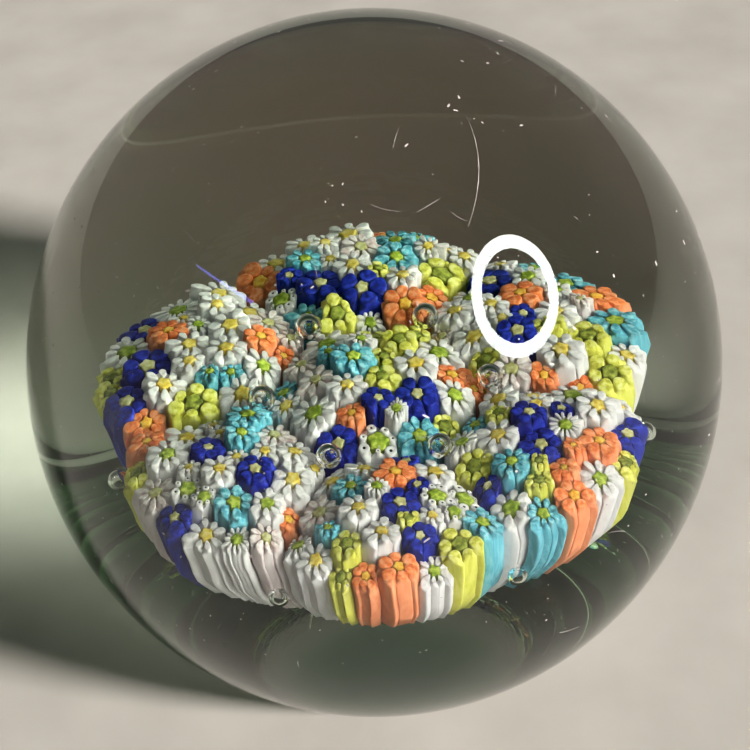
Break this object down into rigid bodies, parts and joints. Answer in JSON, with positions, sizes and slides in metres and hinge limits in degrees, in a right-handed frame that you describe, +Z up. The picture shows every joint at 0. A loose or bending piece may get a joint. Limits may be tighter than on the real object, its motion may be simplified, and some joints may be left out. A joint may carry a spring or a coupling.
{
  "type": "paperweight",
  "caption": "Clear glass ball with a flat ground foot, holding domed clusters of patterned glass canes and trapped air bubbles.",
  "frame": {"origin": "middle of the flat ground foot, on the surface that the weight stands on", "axes": "+Z up through the ball's centre, -Y towards the front cluster, +X to the right seen from the front"},
  "size_m": [0.076, 0.076, 0.0663],
  "materials": {
    "clear_glass": "polished clear soda glass with a faint green tint, fine scratches, ground flat underneath",
    "white_cane_glass": "opaque coloured cane glass, fire-polished, streaked along its length",
    "blue_cane_glass": "opaque coloured cane glass, fire-polished, streaked along its length",
    "orange_cane_glass": "opaque coloured cane glass, fire-polished, streaked along its length",
    "yellow_cane_glass": "opaque coloured cane glass, fire-polished, streaked along its length",
    "turquoise_cane_glass": "opaque coloured cane glass, fire-polished, streaked along its length"
  },
  "bodies": {
    "root": {"centre_core": "white_cane_glass", "centre_canes_1": "blue_cane_glass", "centre_canes_2": "orange_cane_glass", "centre_canes_3": "yellow_cane_glass", "centre_canes_4": "turquoise_cane_glass", "centre_canes_5": "white_cane_glass", "centre_canes_6": "blue_cane_glass", "centre_canes_7": "orange_cane_glass", "back_right_core": "blue_cane_glass", "back_right_canes_1": "orange_cane_glass", "back_right_canes_2": "yellow_cane_glass", "back_right_canes_3": "turquoise_cane_glass", "back_right_canes_4": "white_cane_glass", "back_right_canes_5": "blue_cane_glass", "back_right_canes_6": "orange_cane_glass", "back_right_canes_7": "yellow_cane_glass", "back_core": "orange_cane_glass", "back_canes_1": "yellow_cane_glass", "back_canes_2": "turquoise_cane_glass", "back_canes_3": "white_cane_glass", "back_canes_4": "blue_cane_glass", "back_canes_5": "orange_cane_glass", "back_canes_6": "yellow_cane_glass", "back_canes_7": "turquoise_cane_glass", "back_left_core": "yellow_cane_glass", "back_left_canes_1": "turquoise_cane_glass", "back_left_canes_2": "white_cane_glass", "back_left_canes_3": "blue_cane_glass", "back_left_canes_4": "orange_cane_glass", "back_left_canes_5": "yellow_cane_glass", "back_left_canes_6": "turquoise_cane_glass", "back_left_canes_7": "white_cane_glass", "front_left_core": "turquoise_cane_glass", "front_left_canes_1": "white_cane_glass", "front_left_canes_2": "blue_cane_glass", "front_left_canes_3": "orange_cane_glass", "front_left_canes_4": "yellow_cane_glass", "front_left_canes_5": "turquoise_cane_glass", "front_left_canes_6": "white_cane_glass", "front_left_canes_7": "blue_cane_glass", "front_core": "white_cane_glass", "front_canes_1": "blue_cane_glass", "front_canes_2": "orange_cane_glass", "front_canes_3": "yellow_cane_glass", "front_canes_4": "turquoise_cane_glass", "front_canes_5": "white_cane_glass", "front_canes_6": "blue_cane_glass", "front_canes_7": "orange_cane_glass", "front_right_core": "blue_cane_glass", "front_right_canes_1": "orange_cane_glass", "front_right_canes_2": "yellow_cane_glass", "front_right_canes_3": "turquoise_cane_glass", "front_right_canes_4": "white_cane_glass", "front_right_canes_5": "blue_cane_glass", "front_right_canes_6": "orange_cane_glass", "front_right_canes_7": "yellow_cane_glass", "clear_casing": "clear_glass", "clear_cushion": "clear_glass"}
  },
  "joints": []
}
